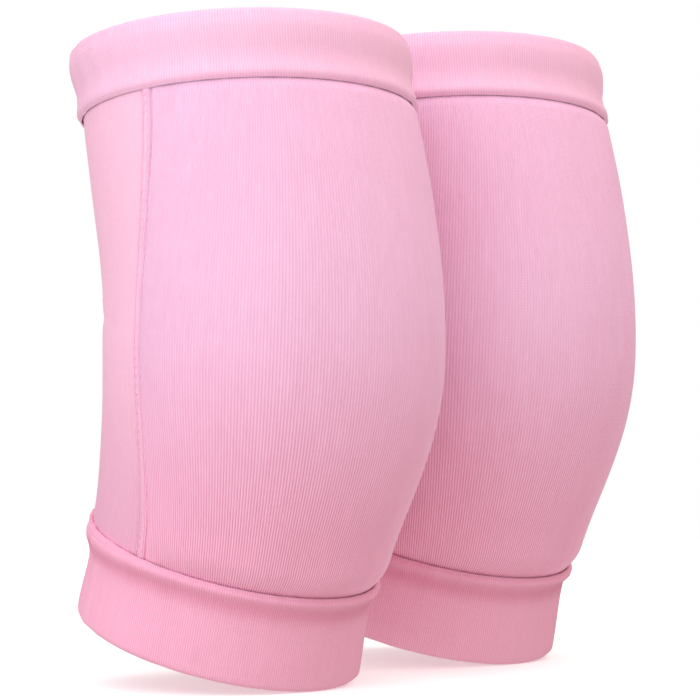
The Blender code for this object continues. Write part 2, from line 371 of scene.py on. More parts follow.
def knit_group():
    """Knit face from a UV counted in stitches: V-shaped loops in columns.

    Loops is the height of the yarn, Groove is high between the columns, Fuzz is fine fibre noise
    and Streak changes slowly along each column.
    """
    name = "knit_face"
    if name in bpy.data.node_groups:
        return bpy.data.node_groups[name]
    group = new_shader_group(
        name,
        (("Slant", "NodeSocketFloat", 0.7), ("Fibre Scale", "NodeSocketFloat", 2600.0)),
        (("Loops", "NodeSocketFloat"), ("Groove", "NodeSocketFloat"), ("Fuzz", "NodeSocketFloat"),
         ("Streak", "NodeSocketFloat")))
    desk = NodeDesk(group)
    source = desk.add("NodeGroupInput")
    uv = desk.add("ShaderNodeUVMap", {"uv_map": "knit"})
    split = desk.add("ShaderNodeSeparateXYZ", Vector=uv.outputs[0])
    across = desk.math("SUBTRACT", desk.math("FRACT", desk.math("ADD", split.outputs[0], 0.5)), 0.5)
    arm = desk.math("ABSOLUTE", across)
    course = desk.math("SUBTRACT", split.outputs[1], desk.math("MULTIPLY", arm, source.outputs["Slant"]))
    loop = desk.math("COSINE", desk.math("MULTIPLY", course, 2.0 * math.pi))
    groove = desk.math("COSINE", desk.math("MULTIPLY", arm, 2.0 * math.pi))
    loops = desk.math("MULTIPLY_ADD", loop, 0.5, 0.5)
    dark = desk.math("MULTIPLY_ADD", groove, -0.5, 0.5)
    coords = desk.add("ShaderNodeTexCoord")
    fuzz = desk.add("ShaderNodeTexNoise", {"noise_dimensions": "3D"}, Vector=coords.outputs["Object"],
                    Scale=source.outputs["Fibre Scale"], Detail=3.0, Roughness=0.6)
    wale = desk.math("FLOOR", desk.math("ADD", split.outputs[0], 0.5))
    lane = desk.add("ShaderNodeCombineXYZ", X=desk.math("MULTIPLY", wale, 0.71),
                    Y=desk.math("MULTIPLY", split.outputs[1], 0.045), Z=0.0)
    streak = desk.add("ShaderNodeTexNoise", Vector=lane.outputs[0], Scale=1.0, Detail=2.0, Roughness=0.7)
    desk.add("NodeGroupOutput", Loops=loops, Groove=dark, Fuzz=fuzz.outputs["Fac"],
             Streak=streak.outputs["Fac"])
    return group


def drift_group():
    """Slow changes of shade over a piece: a broad cloud and a finer one, both 0 to 1."""
    name = "dye_drift"
    if name in bpy.data.node_groups:
        return bpy.data.node_groups[name]
    group = new_shader_group(name, (("Cloud Scale", "NodeSocketFloat", 14.0),),
                             (("Broad", "NodeSocketFloat"), ("Fine", "NodeSocketFloat")))
    desk = NodeDesk(group)
    source = desk.add("NodeGroupInput")
    coords = desk.add("ShaderNodeTexCoord")
    broad = desk.add("ShaderNodeTexNoise", Vector=coords.outputs["Object"],
                     Scale=source.outputs["Cloud Scale"], Detail=2.0, Roughness=0.5)
    fine = desk.add("ShaderNodeTexNoise", Vector=coords.outputs["Object"],
                    Scale=desk.math("MULTIPLY", source.outputs["Cloud Scale"], 9.0),
                    Detail=4.0, Roughness=0.65)
    desk.add("NodeGroupOutput", Broad=broad.outputs["Fac"], Fine=fine.outputs["Fac"])
    return group


def mix_colour(desk, factor, first, second, blend="MIX"):
    node = desk.add("ShaderNodeMix", {"data_type": "RGBA", "blend_type": blend, "clamp_factor": True})
    desk.feed(node.inputs["Factor"], factor)
    desk.feed(node.inputs[6], first)
    desk.feed(node.inputs[7], second)
    return node.outputs[2]


def height_share(desk, low, high):
    """0 at the world height low and 1 at high, from Object coordinates."""
    coords = desk.add("ShaderNodeTexCoord")
    split = desk.add("ShaderNodeSeparateXYZ", Vector=coords.outputs["Object"])
    node = desk.add("ShaderNodeMapRange", {"interpolation_type": "SMOOTHSTEP"}, Value=split.outputs[2])
    node.inputs["From Min"].default_value = low
    node.inputs["From Max"].default_value = high
    return node.outputs[0]


TONE_HEIGHTS = (-85 * MM, 20 * MM)        # the lower tone ends and the upper begins; the two tones are painted light and shade from top to bottom
GROOVE_HEIGHTS = (-75 * MM, 25 * MM)      # the same for the painted shade between ribs


def knit_material(name, upper, lower, groove_dark, loop_bump, streak):
    """Matte knit: two tones from top to bottom that are painted light and shade, painted shade between wales,
    yarn loops and fibre in the bump.

    groove_dark holds the painted shade between wales at the calf and at the thigh.
    """
    if name in bpy.data.materials:
        return bpy.data.materials[name]
    material = bpy.data.materials.new(name)
    material.use_nodes = True
    desk = NodeDesk(material.node_tree)
    shader = material.node_tree.nodes["Principled BSDF"]
    knit = desk.add("ShaderNodeGroup", {"node_tree": knit_group()})
    drift = desk.add("ShaderNodeGroup", {"node_tree": drift_group()})
    # upper and lower tones: painted light and shade from top to bottom
    tone = mix_colour(desk, height_share(desk, *TONE_HEIGHTS), (*lower, 1.0), (*upper, 1.0))
    cloud = desk.math("MULTIPLY_ADD", drift.outputs["Broad"], 0.10, 0.95)
    speck = desk.math("MULTIPLY_ADD", drift.outputs["Fine"], 0.06, 0.97)
    shade = desk.math("MULTIPLY", cloud, speck)
    # painted shade between the wales, stronger at the calf than at the thigh
    darkness = desk.math("MULTIPLY_ADD", height_share(desk, *GROOVE_HEIGHTS),
                         groove_dark[1] - groove_dark[0], groove_dark[0])
    groove = desk.math("SUBTRACT", 1.0, desk.math("MULTIPLY", knit.outputs["Groove"], darkness))
    shade = desk.math("MULTIPLY", shade, groove)
    column_tone = desk.math("MULTIPLY_ADD", knit.outputs["Streak"], streak, 1.0 - streak / 2)
    shade = desk.math("MULTIPLY", shade, column_tone)
    # painted shade, up to 22% darker, in the groove under the ridge of the bottom cuffs; the attribute is set
    # on the bottom cuffs only, and 0 elsewhere
    painted_ridge_shade = desk.add("ShaderNodeAttribute", {"attribute_name": "painted_ridge_shade"})
    shade = desk.math("MULTIPLY", shade, desk.math("MULTIPLY_ADD", painted_ridge_shade.outputs["Fac"], -0.22, 1.0))
    fibre = desk.math("MULTIPLY_ADD", knit.outputs["Fuzz"], 0.10, 0.95)
    shade = desk.math("MULTIPLY", shade, fibre)
    # shaded yarn keeps its red, so it reads as a deeper pink and not as grey
    depth = desk.add("ShaderNodeCombineColor", Red=desk.math("POWER", shade, 0.55),
                     Green=desk.math("POWER", shade, 1.3), Blue=desk.math("POWER", shade, 1.1))
    colour = mix_colour(desk, 1.0, tone, depth.outputs[0], "MULTIPLY")
    desk.feed(shader.inputs["Base Color"], colour)
    rough = desk.math("MULTIPLY_ADD", knit.outputs["Fuzz"], 0.14, 0.80)
    desk.feed(shader.inputs["Roughness"], rough)
    relief = desk.math("ADD", desk.math("MULTIPLY", knit.outputs["Loops"], 0.7),
                       desk.math("MULTIPLY", knit.outputs["Fuzz"], 0.6))
    bump = desk.add("ShaderNodeBump", Strength=1.0, Distance=loop_bump, Height=relief)
    desk.feed(shader.inputs["Normal"], bump.outputs[0])
    shader.inputs["Specular IOR Level"].default_value = 0.25
    shader.inputs["Sheen Weight"].default_value = 0.10
    shader.inputs["Sheen Roughness"].default_value = 0.45
    shader.inputs["Sheen Tint"].default_value = (1.0, 0.86, 0.93, 1.0)
    return material


def plain_material(name, colour, roughness, noise_scale, noise_bump, spread):
    """One-tone surface with fine grain in colour and bump."""
    if name in bpy.data.materials:
        return bpy.data.materials[name]
    material = bpy.data.materials.new(name)
    material.use_nodes = True
    desk = NodeDesk(material.node_tree)
    shader = material.node_tree.nodes["Principled BSDF"]
    coords = desk.add("ShaderNodeTexCoord")
    grain = desk.add("ShaderNodeTexNoise", Vector=coords.outputs["Object"], Scale=noise_scale, Detail=4.0)
    dim = tuple(channel * (1.0 - spread) for channel in colour)
    tone = mix_colour(desk, grain.outputs["Fac"], (*dim, 1.0), (*colour, 1.0))
    desk.feed(shader.inputs["Base Color"], tone)
    rough = desk.math("MULTIPLY_ADD", grain.outputs["Fac"], 0.2, roughness - 0.1)
    desk.feed(shader.inputs["Roughness"], rough)
    bump = desk.add("ShaderNodeBump", Strength=1.0, Distance=noise_bump, Height=grain.outputs["Fac"])
    desk.feed(shader.inputs["Normal"], bump.outputs[0])
    return material


# ---- settings a user may change ----

def count_property(name, description, default):
    return bpy.props.IntProperty(name=name, description=description, default=default)


def length_property(name, description, millimetres):
    return bpy.props.FloatProperty(
        name=name, description=description, default=millimetres * MM, unit="LENGTH", precision=5)


class KneePadSizes(bpy.types.PropertyGroup):
    """Sizes of the finished knit and stitching."""

    front_wales: count_property("Front Ribs", "Ribs across one padded front", 162)
    rib_height: length_property("Rib Height", "Half of the rise of a front rib", 0.13)
    cuff_wales: count_property("Cuff Ribs", "Ribs round one cuff", 380)
    cuff_rib_height: length_property("Cuff Rib Height", "Half of the rise of a cuff rib", 0.07)
    course_pitch: length_property("Course Pitch", "Height of one knitted row", 0.75)
    stitch_pitch: length_property("Stitch Pitch", "Length of one seam stitch", 3.0)
    seam_width: length_property("Seam Width", "Distance between the needle lines of a side seam", 3.4)
    thread_radius: length_property("Thread Radius", "Radius of the sewing thread", 0.13)


def colour_property(name, description, default):
    return bpy.props.FloatVectorProperty(
        name=name, description=description, default=default, subtype="COLOR", min=0.0, max=1.0)


class KneePadColours(bpy.types.PropertyGroup):
    """Colours of the pieces."""

    # the upper and lower tones of the front and back are painted light and shade from top to bottom
    front_upper: colour_property("Front, Upper", "Rib knit near the thigh", (0.83, 0.49, 0.69))
    front_lower: colour_property("Front, Lower", "Rib knit near the calf", (0.97, 0.53, 0.72))
    back_upper: colour_property("Back, Upper", "Smooth knit near the thigh", (0.90, 0.51, 0.68))
    back_lower: colour_property("Back, Lower", "Smooth knit near the calf", (0.77, 0.38, 0.53))
    cuff_upper: colour_property("Top Cuff", "Folded band at the thigh", (0.87, 0.52, 0.705))
    cuff_lower: colour_property("Bottom Cuff", "Folded band at the calf", (0.93, 0.46, 0.635))
    lining: colour_property("Lining", "Knit against the leg", (0.88, 0.62, 0.73))
    thread: colour_property("Thread", "Seam stitching", (0.97, 0.56, 0.74))
    elastic: colour_property("Elastic", "Woven band inside the cuffs", (0.86, 0.82, 0.84))
    foam: colour_property("Foam", "Cushion behind the front", (0.86, 0.84, 0.80))
    floor: colour_property("Floor", "Studio floor", (0.93, 0.93, 0.93))


# ---- pieces ----

PLAIN_WALES = 150            # columns of knit across a back panel or a lining
CUSHION_EDGE = 0.80          # column at which the foam ends


def knit_numbers(columns, heights, wales, course_pitch):
    """Knit UV in stitches over a lattice: wale number across and course number up."""
    return columns * wales / 2.0, heights / course_pitch


def seam_strip(reach):
    """Rise of the sewn strip at a distance from the side seam: a flat ridge, then a groove."""
    ridge = 0.40 * (1.0 - smooth((reach - 1.1 * MM) / (0.7 * MM)))
    groove = 0.50 * np.exp(-((reach - 2.0 * MM) / (0.5 * MM)) ** 2)
    return MM * (ridge - groove)


def front_face(prefix, sizes, colours):
    """Rib-knit face over the cushion, its edges turned in under the seams and cuffs."""
    steps = sizes.front_wales * 4
    columns = np.linspace(-1.0, 1.0, steps + 1)
    heights = np.concatenate([[BOTTOM_SEAM - SEAM_TUCK], np.linspace(BOTTOM_SEAM, BOTTOM_SEAM + 12 * MM, 9),
                              np.linspace(BOTTOM_SEAM + 15 * MM, TOP_SEAM - 15 * MM, 40),
                              np.linspace(TOP_SEAM - 12 * MM, TOP_SEAM, 9), [TOP_SEAM + SEAM_TUCK]])
    c, h = np.meshgrid(columns, heights)
    padding = front_padding(c, h)
    depth = PANEL_DEPTH + 0.85 * FABRIC + padding
    loose = smooth(padding / (3 * MM))
    depth += 0.35 * MM * ripple(c, h, 1.0, 0.6) * loose
    depth += seam_strip((1.0 - np.abs(c)) * ease_through(h, SEAM_STATIONS) * ease_through(h, RADIUS_STATIONS))
    points = place(prefix, c, h, depth)
    name = prefix + "front_face"
    knit = knit_numbers(c, h, sizes.front_wales, sizes.course_pitch)
    mesh = lattice_mesh(name, points, knit, wale=c * sizes.front_wales / 2.0)
    finish = knit_material("ribbed_front_face", colours.front_upper, colours.front_lower,
                           groove_dark=(0.38, 0.06), loop_bump=0.05 * MM, streak=0.14)
    ribbed = run_tree(name, mesh, rib_tree(), {"Rib Height": sizes.rib_height, "Finish": finish})
    piece = add_piece(name, ribbed, finish)
    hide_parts(prefix + "front_panel")
    bends_at_knee(piece)


# height, column, width and rise of each fold in millimetres, its column excepted, and its slant
CREASES = ((11, 2.12, 2.6, 0.9, 6.0), (5, 1.86, 2.2, -0.8, -7.0), (-2, 2.05, 2.6, 0.7, 4.0),
           (1, 1.55, 2.4, -0.5, 9.0), (-8, 1.90, 3.0, -0.5, -6.0), (17, 1.95, 3.2, -0.5, -5.0),
           (7, 2.42, 2.4, -0.5, -10.0), (23, 2.1, 3.4, 0.3, 5.0))


def knee_creases(column, height):
    """Soft short folds behind the knee, each with its own place, slant and length."""
    folds = np.zeros(np.broadcast(column, height).shape)
    for middle, centre, width, rise, slant in CREASES:
        line = height / MM - middle - slant * (column - centre) - 0.8 * np.sin(column * 7.0 + middle)
        folds += rise * MM * np.exp(-(line / width) ** 2) * np.exp(-((column - centre) / 0.36) ** 2)
    return folds


def back_face(prefix, sizes, colours):
    """Smooth stretch knit behind the leg, creased behind the knee."""
    edge = np.linspace(0.0, 0.08, 33)
    columns = np.concatenate([1.0 + edge, np.linspace(1.09, 2.91, 120), 3.0 - edge[::-1]])
    heights = np.concatenate([[BOTTOM_SEAM - SEAM_TUCK], np.linspace(BOTTOM_SEAM, TOP_SEAM, 110),
                              [TOP_SEAM + SEAM_TUCK]])
    c, h = np.meshgrid(columns, heights)
    depth = PANEL_DEPTH + 0.85 * FABRIC + knee_creases(c, h)
    inside = smooth(np.minimum(TOP_SEAM - h, h - BOTTOM_SEAM) / (14 * MM))
    depth += 0.30 * MM * ripple(c, h, 4.0, 0.5) * inside
    rear_angle = math.pi - ease_through(h, SEAM_STATIONS)
    reach = (1.0 - np.abs(c - 2.0)) * rear_angle * ease_through(h, RADIUS_STATIONS)
    allowance = np.exp(-((reach - 5.2 * MM) / (0.7 * MM)) ** 2) * smooth((-5 * MM - h) / (30 * MM))
    depth += seam_strip(reach) - 0.22 * MM * allowance
    knit = knit_numbers(c, h, PLAIN_WALES, sizes.course_pitch)
    mesh = lattice_mesh(prefix + "back_face", place(prefix, c, h, depth), knit)
    finish = knit_material("smooth_back_face", colours.back_upper, colours.back_lower,
                           groove_dark=(0.06, 0.04), loop_bump=0.05 * MM, streak=0.08)
    piece = add_piece(prefix + "back_face", mesh, finish)
    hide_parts(prefix + "back_panel")
    bends_at_knee(piece)


def lining_face(prefix, sizes, colours):
    """Plain knit between the cushion and the leg."""
    columns = np.linspace(-1.0, 1.0, 161)
    heights = np.linspace(BOTTOM_SEAM + 0.3 * MM, TOP_SEAM - 0.3 * MM, 90)
    c, h = np.meshgrid(columns, heights)
    sewn = 1.0 * MM * smooth((np.abs(c) - 0.955) / 0.04)
    outer = place(prefix, c, h, 1.1 * MM + sewn + 0.08 * MM * ripple(c, h, 2.0))
    inner = place(prefix, c, h, 0.3 * MM + sewn + 0.15 * MM * ripple(c, h, 2.0))
    # one closed sheet: up the outside, down the inside
    points = np.concatenate([outer, inner[::-1]], axis=0)
    both_columns, both_heights = np.concatenate([c, c[::-1]]), np.concatenate([h, h[::-1]])
    knit = knit_numbers(both_columns, both_heights, PLAIN_WALES, sizes.course_pitch)
    mesh = lattice_mesh(prefix + "lining_face", points, knit, loop_rows=True)
    close_ends(mesh, len(columns), len(heights))
    finish = knit_material("lining_face", colours.lining, colours.lining,
                           groove_dark=(0.12, 0.12), loop_bump=0.06 * MM, streak=0.10)
    piece = add_piece(prefix + "lining_face", mesh, finish)
    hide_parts(prefix + "front_lining")
    bends_at_knee(piece)


def foam_cushion(prefix, sizes, colours):
    """Foam that fills the space between the lining and the front face, thinnest at its rim."""
    columns = np.linspace(-CUSHION_EDGE, CUSHION_EDGE, 61)
    heights = np.linspace(BOTTOM_SEAM + 5 * MM, TOP_SEAM - 5 * MM, 70)
    c, h = np.meshgrid(columns, heights)
    inner = np.full(c.shape, PANEL_DEPTH)
    outer = PANEL_DEPTH + np.maximum(front_padding(c, h) - 0.75 * MM, 0.3 * MM)
    shell = np.concatenate([place(prefix, c, h, outer), place(prefix, c, h, inner)[::-1]], axis=0)
    both_columns, both_heights = np.concatenate([c, c[::-1]]), np.concatenate([h, h[::-1]])
    mesh = lattice_mesh(prefix + "foam_cushion", shell,
                        knit_numbers(both_columns, both_heights, PLAIN_WALES, sizes.course_pitch),
                        loop_rows=True)
    close_ends(mesh, len(columns), len(heights))
    finish = plain_material("cushion_foam", colours.foam, 0.85, 900.0, 0.15 * MM, 0.12)
    piece = add_piece(prefix + "foam_cushion", mesh, finish)
    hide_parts(prefix + "foam_pad")
    bends_at_knee(piece)


def close_ends(mesh, columns, rows):
    """Joins the two open sides of a looped lattice, front skin to back skin, with a strip of quads."""
    shape = bmesh.new()
    shape.from_mesh(mesh)
    shape.verts.ensure_lookup_table()
    for column in (0, columns - 1):
        for row in range(rows - 1):
            mirror = 2 * rows - 1 - row
            corners = [shape.verts[index * columns + column]
                       for index in (row, row + 1, mirror - 1, mirror)]
            shape.faces.new(corners if column else corners[::-1]).smooth = True
    bmesh.ops.recalc_face_normals(shape, faces=shape.faces)
    shape.to_mesh(mesh)
    shape.free()


def cuff_profile(share, turn, bottom):
    """Depth added to a cuff at a share of its height, 0 at the seam and 1 at the rim."""
    if bottom:
        behind = smooth(0.5 - 0.5 * np.cos(turn * 2.0 * math.pi))
        spread = 1.0 + 1.1 * behind
        ridge = 0.9 - 2.5 * smooth((share / spread - 0.035) / 0.14)
        return MM * (ridge + 2.6 * smooth((share / spread - 0.17) / (0.95 / spread - 0.17)))
    ahead = smooth(0.5 + 0.5 * np.cos(turn * 2.0 * math.pi))
    lip = (0.3 + 0.5 * ahead) * np.exp(-((share - 0.10) / 0.09) ** 2)
    lip = lip - 0.5 * np.exp(-((share - 0.36) / 0.16) ** 2)
    rim = 0.6 * smooth((share - 0.4) / 0.35) - 0.9 * smooth((share - 0.75) / 0.25)
    return MM * (lip + rim - 2.8 * ahead * share)


def seam_roll(share, turn, bottom):
    """Depth taken off a cuff's outer skin where it rolls in to the seam: a soft shoulder behind the leg."""
    if not bottom:
        return 1.3 * MM * np.clip(1.0 - share / 0.07, 0.0, 1.0) ** 2
    rear = rear_share(turn)
    return MM * (2.3 + 0.7 * rear) * np.clip(1.0 - share / (0.08 + 0.12 * rear), 0.0, 1.0) ** 2


def rear_share(turn):
    """0 over the front of the leg and 1 behind it, easing over the side seams."""
    return smooth((0.5 - np.abs(turn - 0.5) - 0.17) / 0.10)


def painted_fold_shade(share, turn):
    """How much painted shade a place on the bottom cuff gets in the groove under its ridge, 0 to 1."""
    return np.exp(-((share - 0.19 - 0.04 * rear_share(turn)) / 0.10) ** 2)


def cuff_section(seam, rim):
    """Closed section of a folded band, as rows of height, depth and outside: down its outer skin,
    over the fold, up its inner skin and back through the pocket between them."""
    away = math.copysign(1.0, rim - seam)
    fold = CUFF_DEPTH / 2.0
    centre = rim - away * fold
    arc = np.linspace(0.0, math.pi, 10)
    even = np.linspace(0.0, 1.0, 34)[:-1]
    down = smooth(even) * 0.5 + even * 0.5
    outer = [(seam + (centre - seam) * t, CUFF_DEPTH, 1.0) for t in down]
    over = [(centre + away * fold * math.sin(a), fold * (1.0 + math.cos(a)), (1.0 + math.cos(a)) / 2.0)
            for a in arc]
    inner = [(seam + (centre - seam) * t, 0.0, 0.0) for t in down[::-2]]
    small = fold - CUFF_FABRIC
    pocket_in = [(seam + (centre - seam) * t, CUFF_FABRIC, 0.0) for t in down[::4]]
    pocket_over = [(centre + away * small * math.sin(a), fold - small * math.cos(a),
                    (1.0 - math.cos(a)) / 2.0) for a in arc[::3]]
    pocket_out = [(seam + (centre - seam) * t, CUFF_DEPTH - CUFF_FABRIC, 1.0) for t in down[::-4]]
    return np.array(outer + over + inner + pocket_in + pocket_over + pocket_out)


def ring_columns(steps):
    """Shares of a full turn, evenly spaced and starting at the front."""
    return np.linspace(0.0, 1.0, steps, endpoint=False)


def place_ring(prefix, turn, height, depth):
    """Like place(), with a share of a full turn in place of a column."""
    seam = ease_through(height, SEAM_STATIONS)
    angle = turn * 2.0 * math.pi
    signed = np.where(angle > math.pi, angle - 2.0 * math.pi, angle)
    front = np.abs(signed) <= seam
    wide = np.where(angle > seam, (angle - seam) / (math.pi - seam) + 1.0, angle / seam)
    column = np.where(front, signed / seam, wide)
    return place(prefix, column, height, depth)


def cuff_ring(name, prefix, seam, rim, sizes, finish):
    """A folded knit band with fine ribs, a soft section and a few shallow gathers."""
    bottom = rim < seam
    section = cuff_section(seam, rim)
    steps = sizes.cuff_wales * 3
    turn, row = np.meshgrid(ring_columns(steps), np.arange(len(section)))
    height, depth, outside = section[row, 0], section[row, 1], section[row, 2]
    share = (height - seam) / (rim - seam)
    rolled = seam_roll(share, turn, bottom) * (depth > 0.9 * CUFF_DEPTH)
    depth = depth + cuff_profile(share, turn, bottom) * (0.5 + 0.5 * outside) - rolled
    wave = ripple(np.cos(turn * 2 * math.pi) * 1.4, height, 6.0 if bottom else 9.0, 0.8)
    gathers = np.sin(turn * 2 * math.pi * 34 + 2.0 * np.sin(turn * 2 * math.pi * 3))
    gathers = gathers * np.clip(1.0 - share / 0.5, 0.0, 1.0)
    depth = depth + MM * (0.30 * wave + 0.10 * gathers) * outside
    points = place_ring(prefix, turn, height, depth)
    if not bottom:
        points = points[:, ::-1]
        turn = turn[:, ::-1]
    distance = np.cumsum(np.concatenate([[0.0], np.linalg.norm(np.diff(section[:, :2], axis=0), axis=1)]))
    knit = (turn * sizes.cuff_wales, (distance / sizes.course_pitch)[row])
    mesh = lattice_mesh(name, points, knit, loop_columns=True, loop_rows=True, wale=turn * sizes.cuff_wales)
    # the bottom band carries a painted shade weight for the groove under its ridge, read by its material
    if bottom:
        painted_ridge_shade = mesh.attributes.new("painted_ridge_shade", "FLOAT", "POINT")
        painted_ridge_shade.data.foreach_set("value", (painted_fold_shade(share, turn) * outside).reshape(-1).astype(np.float32))
    return run_tree(name, mesh, rib_tree(), {"Rib Height": sizes.cuff_rib_height, "Finish": finish})


def top_cuff(prefix, sizes, colours):
    finish = knit_material("cuff_knit_upper", colours.cuff_upper, colours.cuff_upper,
                           groove_dark=(0.12, 0.12), loop_bump=0.04 * MM, streak=0.12)
    mesh = cuff_ring(prefix + "top_band", prefix, TOP_SEAM, TOP_RIM, sizes, finish)
    piece = add_piece(prefix + "top_band", mesh, finish)
    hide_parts(prefix + "top_cuff")
    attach(piece, "sleeves")


def bottom_cuff(prefix, sizes, colours):
    finish = knit_material("cuff_knit_lower", colours.cuff_lower, colours.cuff_lower,
                           groove_dark=(0.20, 0.20), loop_bump=0.06 * MM, streak=0.12)
    mesh = cuff_ring(prefix + "bottom_band", prefix, BOTTOM_SEAM, BOTTOM_RIM, sizes, finish)
    piece = add_piece(prefix + "bottom_band", mesh, finish)
    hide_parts(prefix + "bottom_cuff")
    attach(piece, prefix + "calf_end")


def bare_points(name, points, outward, along):
    """Mesh of bare points with the directions that the stitch tree reads."""
    mesh = bpy.data.meshes.new(name)
    mesh.from_pydata(points, [], [])
    for label, vectors in (("outward", outward), ("along", along)):
        vectors = vectors / np.linalg.norm(vectors, axis=1)[:, None]
        attribute = mesh.attributes.new(label, "FLOAT_VECTOR", "POINT")
        attribute.data.foreach_set("vector", vectors.reshape(-1).astype(np.float32))
    return mesh


def seam_points(prefix, column, height, depth):
    """Points up a side seam, facing away from the leg."""
    points = place(prefix, column, height, depth)
    lifted = place(prefix, column, height, depth + MM)
    return bare_points(prefix + "seam_points", points, lifted - points, np.gradient(points, axis=0))


def ring_points(prefix, turn, height, depth):
    """Points round the inside of the sleeve, facing the leg."""
    points = place_ring(prefix, turn, height, depth)
    lifted = place_ring(prefix, turn, height, depth - MM)
    along = np.roll(points, -1, axis=0) - np.roll(points, 1, axis=0)
    return bare_points(prefix + "ring_points", points, lifted - points, along)


def sew(name, points, seed, sizes, colours):
    """Stitches over a mesh of bare points, as one piece."""
    finish = plain_material("seam_thread", colours.thread, 0.6, 4000.0, 0.03 * MM, 0.18)
    values = {"Stitch Pitch": sizes.stitch_pitch, "Seam Width": sizes.seam_width,
              "Thread Radius": sizes.thread_radius, "Seed": seed, "Finish": finish}
    return add_piece(name, run_tree(name, points, stitch_tree(), values), finish)


def side_stitching(prefix, side, column, sizes, colours):
    """Flat stitching up one side seam."""
    count = round((TOP_SEAM - BOTTOM_SEAM - 2 * MM) / sizes.stitch_pitch)
    height = np.linspace(BOTTOM_SEAM + 2 * MM, TOP_SEAM - 1.5 * MM, count)
    points = seam_points(prefix, np.full(count, column), height, PANEL_DEPTH + FABRIC + 0.25 * MM)
    piece = sew(prefix + side + "_seam_stitches", points, 3, sizes, colours)
    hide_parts(prefix + side + "_side_seam_thread")
    bends_at_knee(piece)


def side_seams(prefix, sizes, colours):
    side_stitching(prefix, "inner", 1.0, sizes, colours)
    side_stitching(prefix, "outer", -1.0, sizes, colours)


def cuff_stitching(prefix, end, seam, body, sizes, colours):
    """Overlock stitching round the inside, where a cuff meets the panels."""
    radius = float(ease_through(seam, RADIUS_STATIONS))
    count = round(2 * math.pi * radius / sizes.stitch_pitch)
    points = ring_points(prefix, ring_columns(count), np.full(count, seam), -0.55 * MM)
    piece = sew(prefix + end + "_overlock", points, 5, sizes, colours)
    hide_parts(prefix + end + "_seam_thread")
    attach(piece, body)


def cuff_seams(prefix, sizes, colours):
    cuff_stitching(prefix, "top", TOP_SEAM, "sleeves", sizes, colours)
    cuff_stitching(prefix, "bottom", BOTTOM_SEAM, prefix + "calf_end", sizes, colours)


ELASTIC_MARGIN = 4.5 * MM    # from the seam and from the rim
ELASTIC_INNER = 1.45 * MM
ELASTIC_OUTER = 2.05 * MM


def elastic_band(prefix, end, seam, rim, body, colours):
    """Woven elastic inside a cuff's pocket."""
    away = math.copysign(1.0, rim - seam)
    climb = np.linspace(seam + away * ELASTIC_MARGIN, rim - away * ELASTIC_MARGIN, 12)
    section = np.array([(height, ELASTIC_INNER) for height in climb]
                       + [(height, ELASTIC_OUTER) for height in climb[::-1]])
    turn, row = np.meshgrid(ring_columns(120), np.arange(len(section)))
    height = section[row, 0]
    share = (height - seam) / (rim - seam)
    depth = section[row, 1] + cuff_profile(share, turn, rim < seam) * 0.65
    points = place_ring(prefix, turn, height, depth)
    if rim > seam:
        points = points[:, ::-1]
    mesh = lattice_mesh(prefix + end + "_elastic_band", points[::-1], (turn * 200.0, row * 10.0), True, True)
    finish = plain_material("woven_elastic", colours.elastic, 0.7, 1500.0, 0.1 * MM, 0.15)
    piece = add_piece(prefix + end + "_elastic_band", mesh, finish)
    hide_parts(prefix + end + "_elastic")
    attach(piece, body)


# ---- stage ----

EYE_AZIMUTH = math.radians(-35.0)
EYE_DISTANCE = 1.39
LENS = 199.0                 # millimetres, on a 36 mm wide sensor
AIM_RIGHT = 31.4 * MM        # the view's middle, to the right of the first knee
EYE_HEIGHT = 9.0 * MM        # the eye above the knee centre
FRAME_DROP = -0.043          # vertical shift of the frame
FLOOR_HEIGHT = CAD_BOX[0][2] - 0.5 * MM
FLOOR_RADIUS = 0.9

# name, azimuth and elevation in degrees, distance, size, power and colour
SOFTBOXES = (("key_softbox", -78.0, 24.0, 1.7, 1.8, 18.0, (0.84, 0.93, 1.0)),
             ("front_softbox", -25.0, 2.0, 1.9, 1.4, 9.6, (1.0, 0.95, 0.92)),
             ("top_softbox", -20.0, 84.0, 1.6, 2.0, 17.5, (1.0, 0.98, 0.97)),
             ("warm_softbox", 60.0, 52.0, 1.6, 1.2, 7.0, (1.0, 0.82, 0.70)))


def studio_camera():
    away = Vector((math.sin(EYE_AZIMUTH), -math.cos(EYE_AZIMUTH), 0.0))
    right = Vector((math.cos(EYE_AZIMUTH), math.sin(EYE_AZIMUTH), 0.0))
    data = bpy.data.cameras.new("studio_camera")
    data.lens = LENS
    data.sensor_width = 36.0
    data.shift_y = FRAME_DROP
    data.clip_end = 50.0
    camera = bpy.data.objects.new("studio_camera", data)
    knee = KNEES["pad1_knee_flex"]
    camera.location = knee + right * AIM_RIGHT + away * EYE_DISTANCE + Vector((0.0, 0.0, EYE_HEIGHT))
    camera.rotation_euler = (math.radians(90.0), 0.0, EYE_AZIMUTH)
    bpy.context.scene.collection.objects.link(camera)
    bpy.context.scene.camera = camera


def softbox(name, azimuth, elevation, distance, size, power, colour):
    data = bpy.data.lights.new(name, "AREA")
    data.shape = "RECTANGLE"
    data.size = data.size_y = size
    data.energy = power
    data.color = colour
    light = bpy.data.objects.new(name, data)
    a, e = math.radians(azimuth), math.radians(elevation)
    away = Vector((math.sin(a) * math.cos(e), -math.cos(a) * math.cos(e), math.sin(e)))
    target = Vector(np.mean(CAD_BOX, axis=0))
    light.location = target + away * distance
    light.rotation_euler = away.to_track_quat("Z", "Y").to_euler()
    bpy.context.scene.collection.objects.link(light)


